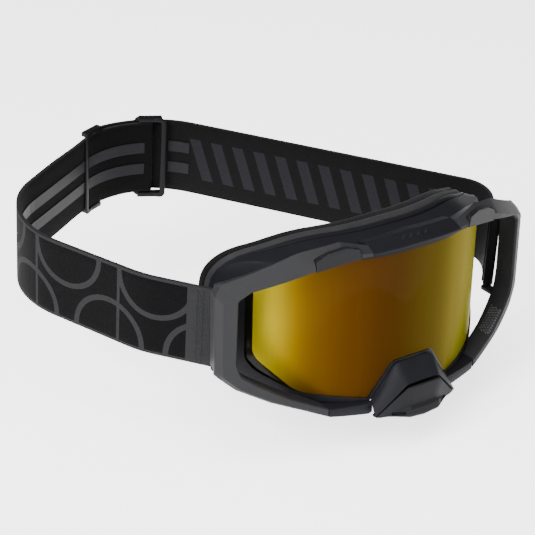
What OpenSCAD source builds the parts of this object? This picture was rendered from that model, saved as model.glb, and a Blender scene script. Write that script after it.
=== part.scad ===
// Off-road goggles: bent lens in a soft frame, stiff outriggers, three-layer
// face foam and a two-piece strap. Origin on the wearer's nose line, in the
// middle of the foam's rear face. +X wearer's left, -Y forwards, +Z up.

/* [Lens] */
// Bend radius of the lens's outer face
lens_r = 82; // [80:1:84]
// Distance from the foam's rear face forwards to the lens
lens_reach = 42.5; // [42:0.5:43]
// Lens thickness
lens_t = 2; // [1.6:0.2:2]
// Gap kept between the lens and the pieces round it
lens_gap = 0.4; // [0.3:0.1:0.5]

/* [Frame] */
// Bend radius of the face flange
flange_r = 112; // [110:1:114]
// Distance from the foam's rear face forwards to the flange
flange_reach = 16; // [15.5:0.5:17]
// Number of vent slots along the frame's top
top_vents = 4; // [2:1:5]

/* [Outriggers] */
// Bend radius of the outriggers' front face
rig_r = 160; // [158:1:162]
// Depth of the outriggers behind their front face
rig_t = 11; // [10:0.5:12]

/* [Latches] */
// Radius of the latch pins
latch_pin_r = 0.8; // [0.6:0.1:0.9]
// Thickness of the latch plate
latch_t = 2.6; // [2.2:0.2:2.8]

/* [Strap] */
// Width of the elastic
strap_w = 44; // [43:1:45]
// Thickness of the elastic
strap_t = 1.8; // [1.6:0.1:2]
// Rise of the strap's plane towards the back, in degrees
strap_rise = 3.2; // [2.8:0.2:3.4]
// Radius of the bars that the strap is sewn round
bar_r = 1.6; // [1.4:0.1:1.8]
// Width of a grip stripe on the strap's inner face
stripe_w = 6.6; // [6:0.2:7]

/* [Sliders] */
// Width of a slider along the strap
slider_w = 19; // [18:1:20]
// Thickness of a slider
slider_t = 3.6; // [3.6:0.2:4]

/* [Hidden] */
$fn = 64;
ROUND = 240;
eps = 0.01;

// Outlines in the front view: eight points a half, from the top centre out
// and down to the middle of the nose arch.
LENS_EDGE = [
    [0, 40.4], [40, 38.8], [74, 29], [74, -25.5],
    [58, -35.4], [24.6, -40.6], [12.6, -21.6], [0, -21]
];
TUNNEL = [[0, 43.6], [42, 42.4], [77.5, 32.4], [77.5, -29], [59, -39], [26.5, -44], [9, -26.6], [0, -26]];
PORT = [[0, 31], [42, 30], [70, 20], [70, -14], [52, -22], [30, -23.5], [17, -8], [0, -5]];
APERTURE = [
    [0, 38], [38, 36.4], [70.4, 27], [70.4, -19],
    [56.5, -34.2], [27, -37.6], [14.5, -18.5], [0, -18]
];
FLANGE = [[0, 44.5], [46, 42.8], [82, 28.5], [82, -27], [58, -43], [27, -45.5], [13, -24], [0, -20]];
CORNERS = [0, 60, 9, 11, 12, 3, 4, 0];
SOFT_CORNERS = [0, 60, 24, 20, 12, 8, 7, 0];

// Outrigger outline (wearer's left) and the opening that it frames.
RIG = [[27.2, 40.6], [33.3, 40.6], [56.5, 36.4], [83, 27], [88, 22], [88.5, -12], [86.5, -19],
    [79, -24.3], [64.6, -32.7], [47, -40.4], [47, -45], [59, -40], [73.5, -34.6], [88, -27.6],
    [96.3, -20], [96.3, 23.4], [92.2, 28.4], [60, 44.6], [42, 49], [27.2, 45]];
brow_seam_x = 27;
// Nose arch corners: at the lens's notch and along the guard's top edge.
ARCH_TOP = [10.8, -43.9, -21.6];
ARCH_FOOT = [23.2, -42.4, -40.4];
ARCH_FRONT = [9.6, -52.4, -30.6];
ARCH_TIP = [25, -46.6, -46.2];
rail_seam_x = 46.8;
brow_floor_z = 40.8;
rail_top_z = -40.6;

// Strap route in plan, as corners with a radius each, from the wearer's right.
BAR = [87.5, 1.5];
ROUTE = [[-BAR[0], BAR[1]], [-112, 36], [-148, 129], [-23, 204], [104, 25], BAR];
BENDS = [0, 60, 54, 46, 20, 0];
BEND_STEPS = 14;
// The sliders sit on the third bend, at these angles from its back.
slider_bend = 3;
RIGHT_SLIDER = 21.8;
LEFT_SLIDER = -26.2;
strap_z = -1.5;
// Distance between the two layers where the halves overlap.
layer_gap = 3.8;
// Heights of the grip stripes on the strap.
STRIPES = [6.2, -7];

function lerp(a, b, t) = a + (b - a) * t;
function unit(v) = v / norm(v);
function mirrored(h) = concat(h, [for (i = [len(h) - 2:-1:1]) [-h[i][0], h[i][1]]]);
function mirrored_r(r) = concat(r, [for (i = [len(r) - 2:-1:1]) r[i]]);
// Arc of radius r that rounds the corner b between a and c, in n steps.
function corner(a, b, c, r, n) =
    r == 0 ? [b] :
    let (u = unit(a - b), w = unit(c - b), half = acos(max(-1, min(1, u * w))) / 2,
        centre = b + unit(u + w) * r / sin(half), from = b + u * r / tan(half) - centre,
        to = b + w * r / tan(half) - centre, sweep = acos(max(-1, min(1, (from * to) / (r * r)))),
        turn = from[0] * to[1] - from[1] * to[0] > 0 ? 1 : -1)
    [for (i = [0:n]) let (t = turn * sweep * i / n)
        centre + [from[0] * cos(t) - from[1] * sin(t), from[0] * sin(t) + from[1] * cos(t)]];
function rounded(p, r, n = 6) = [for (i = [0:len(p) - 1])
    each corner(p[(i + len(p) - 1) % len(p)], p[i], p[(i + 1) % len(p)], r[i], n)];
function outline(half, radii) = rounded(mirrored(half), mirrored_r(radii));

// Front of a vertical cylinder of radius r whose nearest line is at y = front.
function bend_y(front, r, x) = front + r - sqrt(r * r - x * x);

module upright(y0, y1) translate([0, y1, 0]) rotate([90, 0, 0]) linear_extrude(y1 - y0) children();
module drum(front, r) translate([0, front + r, -80]) cylinder(h = 160, r = r, $fn = ROUND);
module ring(outer, inner) difference() {
    polygon(outer);
    polygon(inner);
}
// Bent wall between two drums, cut to an upright outline.
module bent(front, r, back, r_back, y_end) difference() {
    intersection() {
        upright(front - 1, y_end) children();
        drum(front, r);
    }
    drum(back, r_back);
}
module both() {
    children();
    mirror([1, 0, 0]) children();
}

lens_y = -lens_reach;
rig_y = -43.5;
rig_back = rig_y + rig_t;
rig_back_r = rig_r - rig_t;
seat_gap = 0.3;
seat_y = lens_y + lens_t + seat_gap;
seat_r = lens_r - lens_t - seat_gap;
flange_y = -flange_reach;
foam_gap = 0.2;
layer = (flange_reach - foam_gap) / 3;
// How much each foam layer is flatter than the one in front of it.
layer_r = 1.3;

// ---- Lens -------------------------------------------------------------
module lens() color("goldenrod")
    bent(lens_y, lens_r, lens_y + lens_t, lens_r - lens_t, 30) polygon(outline(LENS_EDGE, CORNERS));

// ---- Frame ------------------------------------------------------------
seat_depth = 4;
lip_lead = 1;
lip_r = lens_r + 6;
// Way to move each of the lens's corners so that its edge keeps the same gap.
CLEAR = [[0, 1], [1, 1], [1, 1], [1, -1], [1, -1], [-0.6, -1], [-0.6, -1], [0, -1]];
LIP_EDGE = [for (i = [0:len(LENS_EDGE) - 1]) LENS_EDGE[i] + lens_gap * CLEAR[i]];
function inset(p, dx, dz) = [for (q = p) [q[0] - sign(q[0]) * dx, q[1] - sign(q[1]) * dz]];
// Ledge that the lens rests on, all round the clear opening.
module seat() difference() {
    bent(seat_y, seat_r, seat_y + seat_depth, seat_r - seat_depth, 30)
        ring(outline(TUNNEL, CORNERS), outline(APERTURE, CORNERS));
    drum(flange_y, flange_r);
}
// Wall round the lens's edge, from just ahead of the lens back to the flange.
module tunnel() bent(lens_y - lip_lead, lip_r, flange_y - 1, flange_r, 30)
    ring(outline(TUNNEL, CORNERS), outline(LIP_EDGE, CORNERS));
module flange() bent(flange_y - 2.4, flange_r, flange_y, flange_r, 30)
    ring(outline(FLANGE, SOFT_CORNERS), outline(PORT, CORNERS));
module brow() bent(rig_y, rig_r, rig_y + 14, rig_r, 0)
    polygon([[-brow_seam_x, brow_floor_z], [brow_seam_x, brow_floor_z], [brow_seam_x, 44.2],
        [0, 46], [-brow_seam_x, 44.2]]);
module speck(p) translate(p) cube(eps, center = true);
module nose_bridge() hull() for (s = [-1, 1], p = [ARCH_TOP, ARCH_FRONT, [10, -36, -25], [9, -44, -31]])
    speck([s * p[0], p[1], p[2]]);
module nose_leg() hull() for (p = [ARCH_TOP, ARCH_FRONT, ARCH_FOOT, ARCH_TIP, [9, -42, -28], [21, -36, -45]])
    speck(p);
module nose_arch() {
    nose_bridge();
    both() nose_leg();
}
module rail() both() bent(rig_y, rig_r, rig_y + 9, rig_r - 9, 0)
    polygon([[23, -41], [rail_seam_x, rail_top_z], [rail_seam_x, -45.4], [25, -47.8], [23, -47]]);
// The room that the outriggers' arms and rails take up in front of the frame.
module rig_space() difference() {
    both() {
        translate([brow_seam_x, -60, 34.5]) cube([80, 70, 30]);
        translate([rail_seam_x, -60, -60]) cube([60, 60, 30]);
    }
    drum(rig_back + 0.2, rig_back_r);
}
module vent_slots() for (i = [0:top_vents - 1]) {
    x = lerp(-42, 42, i / (top_vents - 1));
    translate([x - 9, -25.5, 35]) cube([18, 5, 14]);
}
module cheek_slots() both() for (x = [27, 35]) translate([x, -23, -48]) cube([5, 4, 12]);
module frame() color("#2f2f34") difference() {
    union() {
        seat();
        tunnel();
        flange();
        brow();
        nose_arch();
        rail();
    }
    rig_space();
    vent_slots();
    cheek_slots();
}

// ---- Outriggers -------------------------------------------------------
latch_x = 45;
latch_z = 41.6;
latch_yaw = asin(latch_x / rig_r);
latch_roll = 10.5;
LATCH = [[-11.6, -3], [-11.2, 2.2], [-5, 5], [4.6, 5], [11.2, 2.4], [11.6, -3]];
// Hinge line of a latch, in the latch's own frame.
hinge_v = latch_t / 2;
hinge_w = 3.6;
knuckle_r = latch_pin_r + 0.6;
knuckle_w = 9;
module at_latch() translate([latch_x, bend_y(rig_y, rig_r, latch_x), latch_z])
    rotate([0, 0, latch_yaw]) rotate([0, latch_roll, 0]) children();
module on_hinge(r, h) translate([-0.2, hinge_v, hinge_w]) rotate([0, 90, 0])
    cylinder(h = h, r = r, center = true);
module latch_slab(front, depth, grow) translate([0, depth, 0]) rotate([90, 0, 0])
    linear_extrude(depth - front)
        polygon([for (p = LATCH) [p[0] + grow * sign(p[0]), p[1] > 0 ? p[1] + grow : p[1] - 4 * grow]]);
// Plan of the outriggers: the posts' outer faces lean in towards the back.
RIG_PLAN = [[0, -60], [98, -60], [98, -18], [90, 8], [0, 8]];
module arms_and_rail() difference() {
    intersection() {
        bent(rig_y, rig_r, rig_back, rig_back_r, 20) polygon(RIG);
        translate([0, 0, -60]) linear_extrude(120) polygon(RIG_PLAN);
    }
    at_latch() {
        latch_slab(-4, latch_t + 0.5, 0.4);
        on_hinge(2.3, 2 * knuckle_w + 1);
        on_hinge(latch_pin_r, knuckle_w + 16);
    }
}
// Lugs that hold the strap bar, and how much longer the bar is than the strap is wide.
LUG = [5, 12, 2.8];
bar_spare = 7.6;
module strap_lugs() for (s = [-1, 1])
    translate([BAR[0] - 0.4, BAR[1] - 3.5, s * (strap_w / 2 + 2.2) + strap_z])
        cube(LUG, center = true);
module rig_whole() difference() {
    union() {
        arms_and_rail();
        strap_lugs();
    }
    strap_bar();
}
module outrigger_left() color("#4d4d4f") rig_whole();
module outrigger_right() color("#4d4d4f") mirror([1, 0, 0]) rig_whole();

// ---- Latches ----------------------------------------------------------
module latch_plate() at_latch() difference() {
    union() {
        latch_slab(0, latch_t, 0);
        on_hinge(knuckle_r, knuckle_w);
    }
    on_hinge(latch_pin_r + 0.05, knuckle_w + 12);
}
module latch_pin() at_latch() on_hinge(latch_pin_r, knuckle_w + 9);
module latch_left() color("#2c2c2e") latch_plate();
module latch_right() color("#2c2c2e") mirror([1, 0, 0]) latch_plate();
module latch_pin_left() color("silver") latch_pin();
module latch_pin_right() color("silver") mirror([1, 0, 0]) latch_pin();

// ---- Face foam and filters ----------------------------------------------
module foam_layer(i) {
    front = foam_gap - flange_reach + i * layer;
    bent(front, flange_r + i * layer_r, front + layer, flange_r + (i + 1) * layer_r, 40)
        ring(outline(inset(FLANGE, 1 + 2.6 * i, 0.6 + 1.2 * i), SOFT_CORNERS), outline(PORT, SOFT_CORNERS));
}
module foam_base() color("#3a3a3c") foam_layer(0);
module foam_middle() color("#2f2f31") foam_layer(1);
module foam_face() color("#262626") foam_layer(2);
module vent_filter_top() color("#1d1d1d") translate([-36, -24.8, 37]) cube([72, 6, 2]);
module cheek_filter() translate([25.5, -23.4, -37]) cube([16, 4.4, 2]);
module vent_filter_left() color("#1d1d1d") cheek_filter();
module vent_filter_right() color("#1d1d1d") mirror([1, 0, 0]) cheek_filter();

// ---- Nose guard ---------------------------------------------------------
GUARD = [[10, -52.9, -31.4], [25.4, -46.6, -47.2], [9, -55, -48.6], [20, -42.5, -49.3], [9, -41, -50.2]];
GUARD_CENTRE = [0, -46, -45];
module guard_block(k) hull() for (s = [-1, 1], p = GUARD)
    speck(GUARD_CENTRE + k * ([s * p[0], p[1], p[2]] - GUARD_CENTRE));
module nose_guard() color("#343436") difference() {
    guard_block(1);
    translate([0, 3.4, -3]) guard_block(0.86);
}

// ---- Strap --------------------------------------------------------------
function strap_leg(i) = i == 0 || i == len(ROUTE) - 1 ? [ROUTE[i]] :
    corner(ROUTE[i - 1], ROUTE[i], ROUTE[i + 1], BENDS[i], BEND_STEPS);
function legs(first, last) = [for (i = [first:last]) each strap_leg(i)];
function bend_centre(i) =
    let (a = ROUTE[i - 1], b = ROUTE[i], c = ROUTE[i + 1])
    let (u = unit(a - b), w = unit(c - b))
    b + unit(u + w) * BENDS[i] / sin(acos(u * w) / 2);
slide_centre = bend_centre(slider_bend);
slide_r = BENDS[slider_bend];
// The part of the slider bend between two angles measured from its back.
function on_bend(from, to, n = 24) = [for (i = [0:n]) let (t = 90 + from + (to - from) * i / n)
    slide_centre + slide_r * [cos(t), sin(t)]];
function heading(p, i) = unit(p[min(i + 1, len(p) - 1)] - p[max(i - 1, 0)]);
// The route moved sideways by d0 over its first points, then easing to d1 at its end.
function beside(p, d0, d1, held) = [for (i = [0:len(p) - 1])
    let (h = heading(p, i), d = lerp(d0, d1, max(0, i - held) / (len(p) - 1 - held)))
    p[i] + d * [-h[1], h[0]]];
function flip(p) = [for (i = [len(p) - 1:-1:0]) p[i]];
// A band of thickness t, off the route by d0 at its start and d1 at its end.
module band(p, t, d0, d1, held = 0)
    polygon(concat(beside(p, d0 - t / 2, d1 - t / 2, held), flip(beside(p, d0 + t / 2, d1 + t / 2, held))));
module tilted() translate([0, BAR[1], strap_z]) rotate([strap_rise, 0, 0])
    translate([0, -BAR[1], 0]) children();
module upright_band(w, z) translate([0, 0, z - w / 2]) linear_extrude(w) children();
module eye(side) translate([side * BAR[0], BAR[1]]) circle(bar_r + 0.1 + strap_t);
module eye_hole(side) translate([side * BAR[0], BAR[1]]) circle(bar_r + 0.1);
module strap_bar() tilted() translate([BAR[0], BAR[1], 0])
    cylinder(h = strap_w + bar_spare, r = bar_r, center = true);
module strap_bar_left() color("dimgray") strap_bar();
module strap_bar_right() color("dimgray") mirror([1, 0, 0]) strap_bar();

right_route = concat(legs(0, slider_bend - 1), on_bend(31, LEFT_SLIDER + 1.5));
outer_route = on_bend(RIGHT_SLIDER - 1.5, -54.6);
left_route = concat(outer_route, legs(slider_bend + 1, len(ROUTE) - 1));
module strap_right() color("#3c3c3e") tilted() upright_band(strap_w, 0) difference() {
    union() {
        band(right_route, strap_t, 0, 0);
        eye(-1);
    }
    eye_hole(-1);
}
module strap_left() color("#3c3c3e") tilted() upright_band(strap_w, 0) difference() {
    union() {
        band(left_route, strap_t, layer_gap, 0, len(outer_route) - 1);
        eye(1);
    }
    eye_hole(1);
}
stripe_t = 0.4;
module stripes(p, d) tilted() for (z = STRIPES) upright_band(stripe_w, z) band(p, stripe_t, d, d);
stripe_off = (strap_t + stripe_t) / 2 + 0.05;
module grip_stripes_right() color("#55555a")
    stripes(concat(strap_leg(2), on_bend(31, LEFT_SLIDER + 4)), -stripe_off);
module grip_stripes_left() color("#55555a")
    stripes(on_bend(LEFT_SLIDER - 13, -54), layer_gap - stripe_off);

// ---- Sliders --------------------------------------------------------------
slider_in = slide_r - strap_t / 2 - stripe_t - 0.4 - 1.6;
bar_in = slide_r + strap_t / 2 + 0.3;
slider_h = strap_w + 6.4;
// Side bars of a slider: width, thickness and their turn from its middle bar.
side_w = 2.6;
side_t = 1.6;
side_turn = 10.2;
module slider(turn) tilted() translate(slide_centre) rotate([0, 0, turn]) {
    for (s = [-1, 1]) translate([-slider_w / 2, slider_in - 0.4, s * (slider_h / 2 - 1.3) - 1.3])
        cube([slider_w, slider_t + 2.2, 2.6]);
    for (s = [-1, 1]) rotate([0, 0, s * side_turn]) translate([-side_w / 2, slider_in, -slider_h / 2 + 1])
        cube([side_w, side_t, slider_h - 2]);
    translate([-1.6, bar_in, -slider_h / 2 + 1]) cube([3.2, 1.3, slider_h - 2]);
}
module slider_left() color("#232325") slider(LEFT_SLIDER);
module slider_right() color("#232325") slider(RIGHT_SLIDER);

frame();
outrigger_left();
outrigger_right();
lens();
foam_base();
foam_middle();
foam_face();
vent_filter_top();
vent_filter_left();
vent_filter_right();
nose_guard();
latch_left();
latch_right();
latch_pin_left();
latch_pin_right();
strap_bar_left();
strap_bar_right();
strap_left();
strap_right();
slider_left();
slider_right();
grip_stripes_left();
grip_stripes_right();
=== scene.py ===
"""Looks of a pair of off-road goggles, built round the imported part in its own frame.

Sizes are in millimetres until a piece is finished, and in metres from then on.
X runs to the wearer's left, Y back towards the head, Z up.
"""

import logging
import math
from dataclasses import dataclass, field
from enum import Enum
from typing import Callable, Sequence

import bmesh
import bpy
from mathutils import Matrix, Vector


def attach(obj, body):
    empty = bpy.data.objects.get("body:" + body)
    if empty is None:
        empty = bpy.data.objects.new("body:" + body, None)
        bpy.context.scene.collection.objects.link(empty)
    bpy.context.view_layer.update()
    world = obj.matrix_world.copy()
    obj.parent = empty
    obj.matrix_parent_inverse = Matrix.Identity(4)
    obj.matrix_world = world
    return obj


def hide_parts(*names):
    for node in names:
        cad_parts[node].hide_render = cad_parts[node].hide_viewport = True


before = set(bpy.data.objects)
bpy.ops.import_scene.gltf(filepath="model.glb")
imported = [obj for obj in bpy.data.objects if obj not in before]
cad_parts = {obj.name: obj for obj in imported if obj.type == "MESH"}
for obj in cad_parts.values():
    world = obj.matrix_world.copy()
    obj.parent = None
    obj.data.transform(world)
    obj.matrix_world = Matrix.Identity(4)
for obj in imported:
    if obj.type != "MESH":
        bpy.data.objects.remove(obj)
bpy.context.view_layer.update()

log = logging.getLogger("goggles")

MM = 0.001
Point = tuple[float, float]
# Half the lens's width.
LENS_HALF = 74


class Side(Enum):
    """Which side of the wearer a piece is on."""

    LEFT = 1
    RIGHT = -1

    @property
    def label(self) -> str:
        """Ending of the side's piece names."""
        return self.name.lower()


# ---------------------------------------------------------------- materials


def linear(hex_colour: str) -> tuple[float, float, float, float]:
    """Turns an sRGB colour into the linear one that Blender works in.

    Args:
        hex_colour: Six hex digits after a #.

    Returns:
        Linear red, green, blue and an alpha of 1.
    """
    parts = [int(hex_colour[i : i + 2], 16) / 255 for i in (1, 3, 5)]
    lin = [c / 12.92 if c <= 0.04045 else ((c + 0.055) / 1.055) ** 2.4 for c in parts]
    return (lin[0], lin[1], lin[2], 1.0)


def node(
    tree: bpy.types.NodeTree, kind: str, links: dict | None = None, **settings: object
) -> bpy.types.Node:
    """Adds one node, sets it up and links its inputs.

    Args:
        tree: The material's node tree.
        kind: Blender's name of the node type, without "ShaderNode".
        links: Input name or number to the socket that feeds it, or to its value.
        settings: The node's own properties.

    Returns:
        The new node.
    """
    made = tree.nodes.new("ShaderNode" + kind)
    for name, value in settings.items():
        setattr(made, name, value)
    for name, value in (links or {}).items():
        if isinstance(value, bpy.types.NodeSocket):
            tree.links.new(value, made.inputs[name])
        else:
            made.inputs[name].default_value = value
    return made


@dataclass(frozen=True)
class Finish:
    """A real material with the marks its making leaves.

    Grain and mottle sizes are real ones in millimetres.
    """

    name: str
    colour: str
    mottle: str
    roughness: float
    grain_mm: float = 0.35
    grain_depth: float = 0.15
    sheen: float = 0.0
    coat: float = 0.0
    metallic: float = 0.0
    mottle_mm: float = 9.0
    specular: float = 0.08

    def material(self) -> bpy.types.Material:
        """Builds the finish once and returns it each time after that."""
        return bpy.data.materials.get(self.name) or self.build()

    def start(self) -> tuple[bpy.types.Material, bpy.types.NodeTree, bpy.types.Node]:
        """Makes the empty material.

        Returns:
            The material, its tree and its shader, with the uniform values set.
        """
        made = bpy.data.materials.new(self.name)
        made.use_nodes = True
        tree = made.node_tree
        tree.nodes.clear()
        shader = node(
            tree,
            "BsdfPrincipled",
            {
                "Roughness": self.roughness,
                "Metallic": self.metallic,
                "Sheen Weight": self.sheen,
                "Coat Weight": self.coat,
                "Specular IOR Level": self.specular,
            },
        )
        node(tree, "OutputMaterial", {"Surface": shader.outputs[0]})
        return made, tree, shader

    def build(self) -> bpy.types.Material:
        """Fine grain in the bump and a slow drift of colour and gloss.

        Returns:
            The finished material.
        """
        made, tree, shader = self.start()
        place = node(tree, "TexCoord").outputs["Object"]
        # A noise of scale s has features of about 1/s metres.
        grain = node(
            tree,
            "TexNoise",
            {"Vector": place, "Scale": 1 / (self.grain_mm * MM), "Detail": 3.0},
        )
        drift = node(
            tree,
            "TexNoise",
            {"Vector": place, "Scale": 1 / (self.mottle_mm * MM), "Detail": 4.0},
        )
        colour = node(
            tree,
            "Mix",
            {0: drift.outputs[0], 6: linear(self.colour), 7: linear(self.mottle)},
            data_type="RGBA",
        )
        gloss = node(
            tree,
            "MapRange",
            {
                0: drift.outputs[0],
                3: self.roughness - 0.06,
                4: self.roughness + 0.06,
            },
        )
        bump = node(
            tree,
            "Bump",
            {
                "Height": grain.outputs[0],
                "Strength": self.grain_depth,
                "Distance": 0.3 * self.grain_mm * MM,
            },
        )
        tree.links.new(colour.outputs[2], shader.inputs["Base Color"])
        tree.links.new(gloss.outputs[0], shader.inputs["Roughness"])
        tree.links.new(bump.outputs[0], shader.inputs["Normal"])
        return made


@dataclass(frozen=True)
class MirrorFinish(Finish):
    """Vacuum-coated polycarbonate, with the coating's gold and the reflections of its surroundings painted
    across the lens.
    """

    see_through: float = 0.1
    edge_tint: str = "#ffffff"

    def build(self) -> bpy.types.Material:
        """Colours painted across the lens in its own X: painted reflections of the surroundings on the
        coating's gold.

        Returns:
            The finished material.
        """
        made, tree, shader = self.start()
        place = node(tree, "TexCoord").outputs["Object"]
        across = node(tree, "SeparateXYZ", {0: place})
        share = node(
            tree, "MapRange", {0: across.outputs[0], 1: -LENS_HALF * MM, 2: LENS_HALF * MM}
        )
        reflection_ramp = node(tree, "ValToRGB", {0: share.outputs[0]})
        # Painted reflections: each stop is the colour that the lit mirror shows at that X.
        painted_reflection_stops = [
            (-70, "#ffe818"),
            (-60, "#8c6800"),
            (-50, "#664606"),
            (-38, "#5c3a0c"),
            (-13, "#40220a"),
            (8, "#54450c"),
            (26, "#60580c"),
            (66, "#bebc1c"),
        ]
        reflection_ramp.color_ramp.interpolation = "B_SPLINE"
        while len(reflection_ramp.color_ramp.elements) < len(painted_reflection_stops):
            reflection_ramp.color_ramp.elements.new(0.5)
        for element, (x, colour) in zip(reflection_ramp.color_ramp.elements, painted_reflection_stops):
            element.position = (x + LENS_HALF) / (2 * LENS_HALF)
            element.color = linear(colour)
        # Streaks 2 mm wide run up the lens: painted banding of the reflected surroundings.
        reflection_banding = node(
            tree,
            "TexNoise",
            {
                "Vector": node(
                    tree, "Mapping", {0: place, "Scale": (1.0, 1.0, 0.04)}
                ).outputs[0],
                "Scale": 500.0,
                "Detail": 2.0,
            },
        )
        tint = node(
            tree,
            "MapRange",
            {0: reflection_banding.outputs[0], 3: 0.42, 4: 0.47},
        )
        colour = node(
            tree,
            "VectorMath",
            {0: reflection_ramp.outputs[0], "Scale": tint.outputs[0]},
            operation="SCALE",
        )
        tree.links.new(colour.outputs[0], shader.inputs["Base Color"])
        shader.inputs["Alpha"].default_value = 1 - self.see_through
        shader.inputs["Specular Tint"].default_value = linear(self.edge_tint)
        return made


@dataclass(frozen=True)
class WovenFinish(Finish):
    """Woven elastic. Its UV map is in metres: U along the strap and V across."""

    rib_mm: float = 1.1
    pick_mm: float = 0.8
    pattern: str = ""
    half_width_mm: float = 22.0

    def build(self) -> bpy.types.Material:
        """Ribs and picks in the bump, the woven pattern in the colour, and painted shade in the weave's
        grooves.

        Returns:
            The finished material.
        """
        made, tree, shader = self.start()
        uv = node(tree, "UVMap", uv_map="cloth")
        axes = node(tree, "SeparateXYZ", {0: uv.outputs[0]})
        along, across = axes.outputs[0], axes.outputs[1]

        def maths(kind: str, a: object, b: object = 0.0) -> bpy.types.NodeSocket:
            """One arithmetic step on sockets or numbers."""
            return node(tree, "Math", {0: a, 1: b}, operation=kind).outputs[0]

        def wave(socket: object, size_mm: float) -> bpy.types.NodeSocket:
            """A sine of that real period along one axis."""
            return maths("SINE", maths("MULTIPLY", socket, 2 * math.pi / (size_mm * MM)))

        ribs = maths("ABSOLUTE", wave(across, 2 * self.rib_mm))
        picks = maths("ABSOLUTE", wave(along, 2 * self.pick_mm))
        height = maths("ADD", maths("MULTIPLY", ribs, 0.7), maths("MULTIPLY", picks, 0.5))
        fuzz = node(
            tree,
            "TexNoise",
            {"Vector": uv.outputs[0], "Scale": 1 / (0.5 * MM), "Detail": 3.0},
        )
        base = self.tone(tree, maths, along, across)
        mixed = node(
            tree,
            "Mix",
            {0: base, 6: linear(self.colour), 7: linear(self.mottle)},
            data_type="RGBA",
        )
        # Painted shade: the colour darkens where the weave's bump is low; a fine fuzz varies it at random.
        shade = maths("ADD", maths("MULTIPLY", height, 0.22), 0.72)
        groove_shade_and_fuzz = maths("ADD", shade, maths("MULTIPLY", fuzz.outputs[0], 0.28))
        colour = node(
            tree,
            "VectorMath",
            {0: mixed.outputs[2], "Scale": groove_shade_and_fuzz},
            operation="SCALE",
        )
        bump = node(
            tree,
            "Bump",
            {
                "Height": maths("ADD", height, maths("MULTIPLY", fuzz.outputs[0], 0.5)),
                "Strength": self.grain_depth,
                "Distance": 0.25 * MM,
            },
        )
        tree.links.new(colour.outputs[0], shader.inputs["Base Color"])
        tree.links.new(bump.outputs[0], shader.inputs["Normal"])
        return made

    def tone(
        self,
        tree: bpy.types.NodeTree,
        maths: Callable,
        along: bpy.types.NodeSocket,
        across: bpy.types.NodeSocket,
    ) -> bpy.types.NodeSocket:
        """How much of the second yarn shows at each place.

        Args:
            tree: Not used.
            maths: Function that adds one arithmetic node.
            along: Distance along the strap, in metres.
            across: Height on the strap, in metres.

        Returns:
            A socket from 0, the first yarn, to 1, the second.
        """
        height = maths("ABSOLUTE", across)
        if self.pattern == "arcs":
            # Rings of 20 mm radius stand by turns on the upper and lower edge,
            # 27 mm apart, and a plain bar parts each pair.
            pitch, radius, line = 27 * MM, 20.5 * MM, 1.5 * MM

            def ring(sign: float, shift: float) -> bpy.types.NodeSocket:
                """One row of rings, 1 on the thin line and 0 off it."""
                du = maths(
                    "SUBTRACT",
                    maths("FLOORED_MODULO", maths("ADD", along, shift), 2 * pitch),
                    pitch,
                )
                dv = maths("ADD", across, sign * 20 * MM)
                far = maths(
                    "SQRT",
                    maths("ADD", maths("MULTIPLY", du, du), maths("MULTIPLY", dv, dv)),
                )
                off = maths("ABSOLUTE", maths("SUBTRACT", far, radius))
                return maths("LESS_THAN", off, line)

            bar_at = maths(
                "SUBTRACT",
                maths("FLOORED_MODULO", maths("ADD", along, 12 * MM), 2 * pitch),
                pitch,
            )
            bars = maths("LESS_THAN", maths("ABSOLUTE", bar_at), 0.9 * MM)
            rows = maths("MAXIMUM", ring(1.0, 6 * MM), ring(-1.0, 33 * MM))
            edge = maths("GREATER_THAN", height, self.half_width_mm * MM - 1.6 * MM)
            end = maths("LESS_THAN", along, 31 * MM)
            lines = maths("MAXIMUM", maths("MAXIMUM", rows, bars), edge)
            return maths("MAXIMUM", lines, end)
        if self.pattern == "grip":
            # Slanted bars of printed silicone, 7 mm wide every 13 mm.
            slant = maths("SUBTRACT", along, maths("MULTIPLY", across, 0.35))
            step = maths("FLOORED_MODULO", slant, 13 * MM)
            bars = maths("LESS_THAN", step, 6.6 * MM)
            tall = maths("LESS_THAN", height, 12.5 * MM)
            first = maths("GREATER_THAN", slant, 50 * MM)
            last = maths("LESS_THAN", slant, 220.6 * MM)
            return maths(
                "MULTIPLY", maths("MULTIPLY", bars, tall), maths("MULTIPLY", first, last)
            )
        return maths("GREATER_THAN", height, self.half_width_mm * MM - 0.9 * MM)


# Nylon moulded and then painted satin: fine spray texture, a soft highlight.
PAINTED_NYLON = Finish("satin_painted_nylon", "#242425", "#28282a", 0.5, 0.3, 0.12, specular=0.05)
# Soft polyurethane as moulded: darker, a little blue, nearly matt.
SOFT_POLYURETHANE = Finish(
    "moulded_polyurethane", "#141417", "#19191c", 0.5, 0.4, 0.2, specular=0.06
)
# Glass-filled nylon as moulded, for the guard: spark-eroded grain.
GRAINED_NYLON = Finish(
    "spark_grained_nylon", "#161618", "#1b1b1d", 0.56, 0.5, 0.35, specular=0.06
)
# Latches are bare nylon, a shade darker than the paint beside them.
BARE_NYLON = Finish("moulded_nylon_latch", "#161617", "#1a1a1c", 0.4, 0.3, 0.15)
# Acetal sliders: waxy, with a clear highlight along each edge.
ACETAL = Finish("moulded_acetal", "#0d0d0e", "#121214", 0.32, 0.5, 0.08)
# Drawn steel wire of the pins and bars.
STEEL = Finish("drawn_steel_wire", "#8b8b8e", "#77777a", 0.35, 0.2, 0.2, metallic=1.0)
# The latches' pins are blackened, so that they do not glint in the arms.
BLACK_STEEL = Finish("blackened_steel_wire", "#1a1a1b", "#222224", 0.5, 0.2, 0.2, metallic=0.6)
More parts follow.
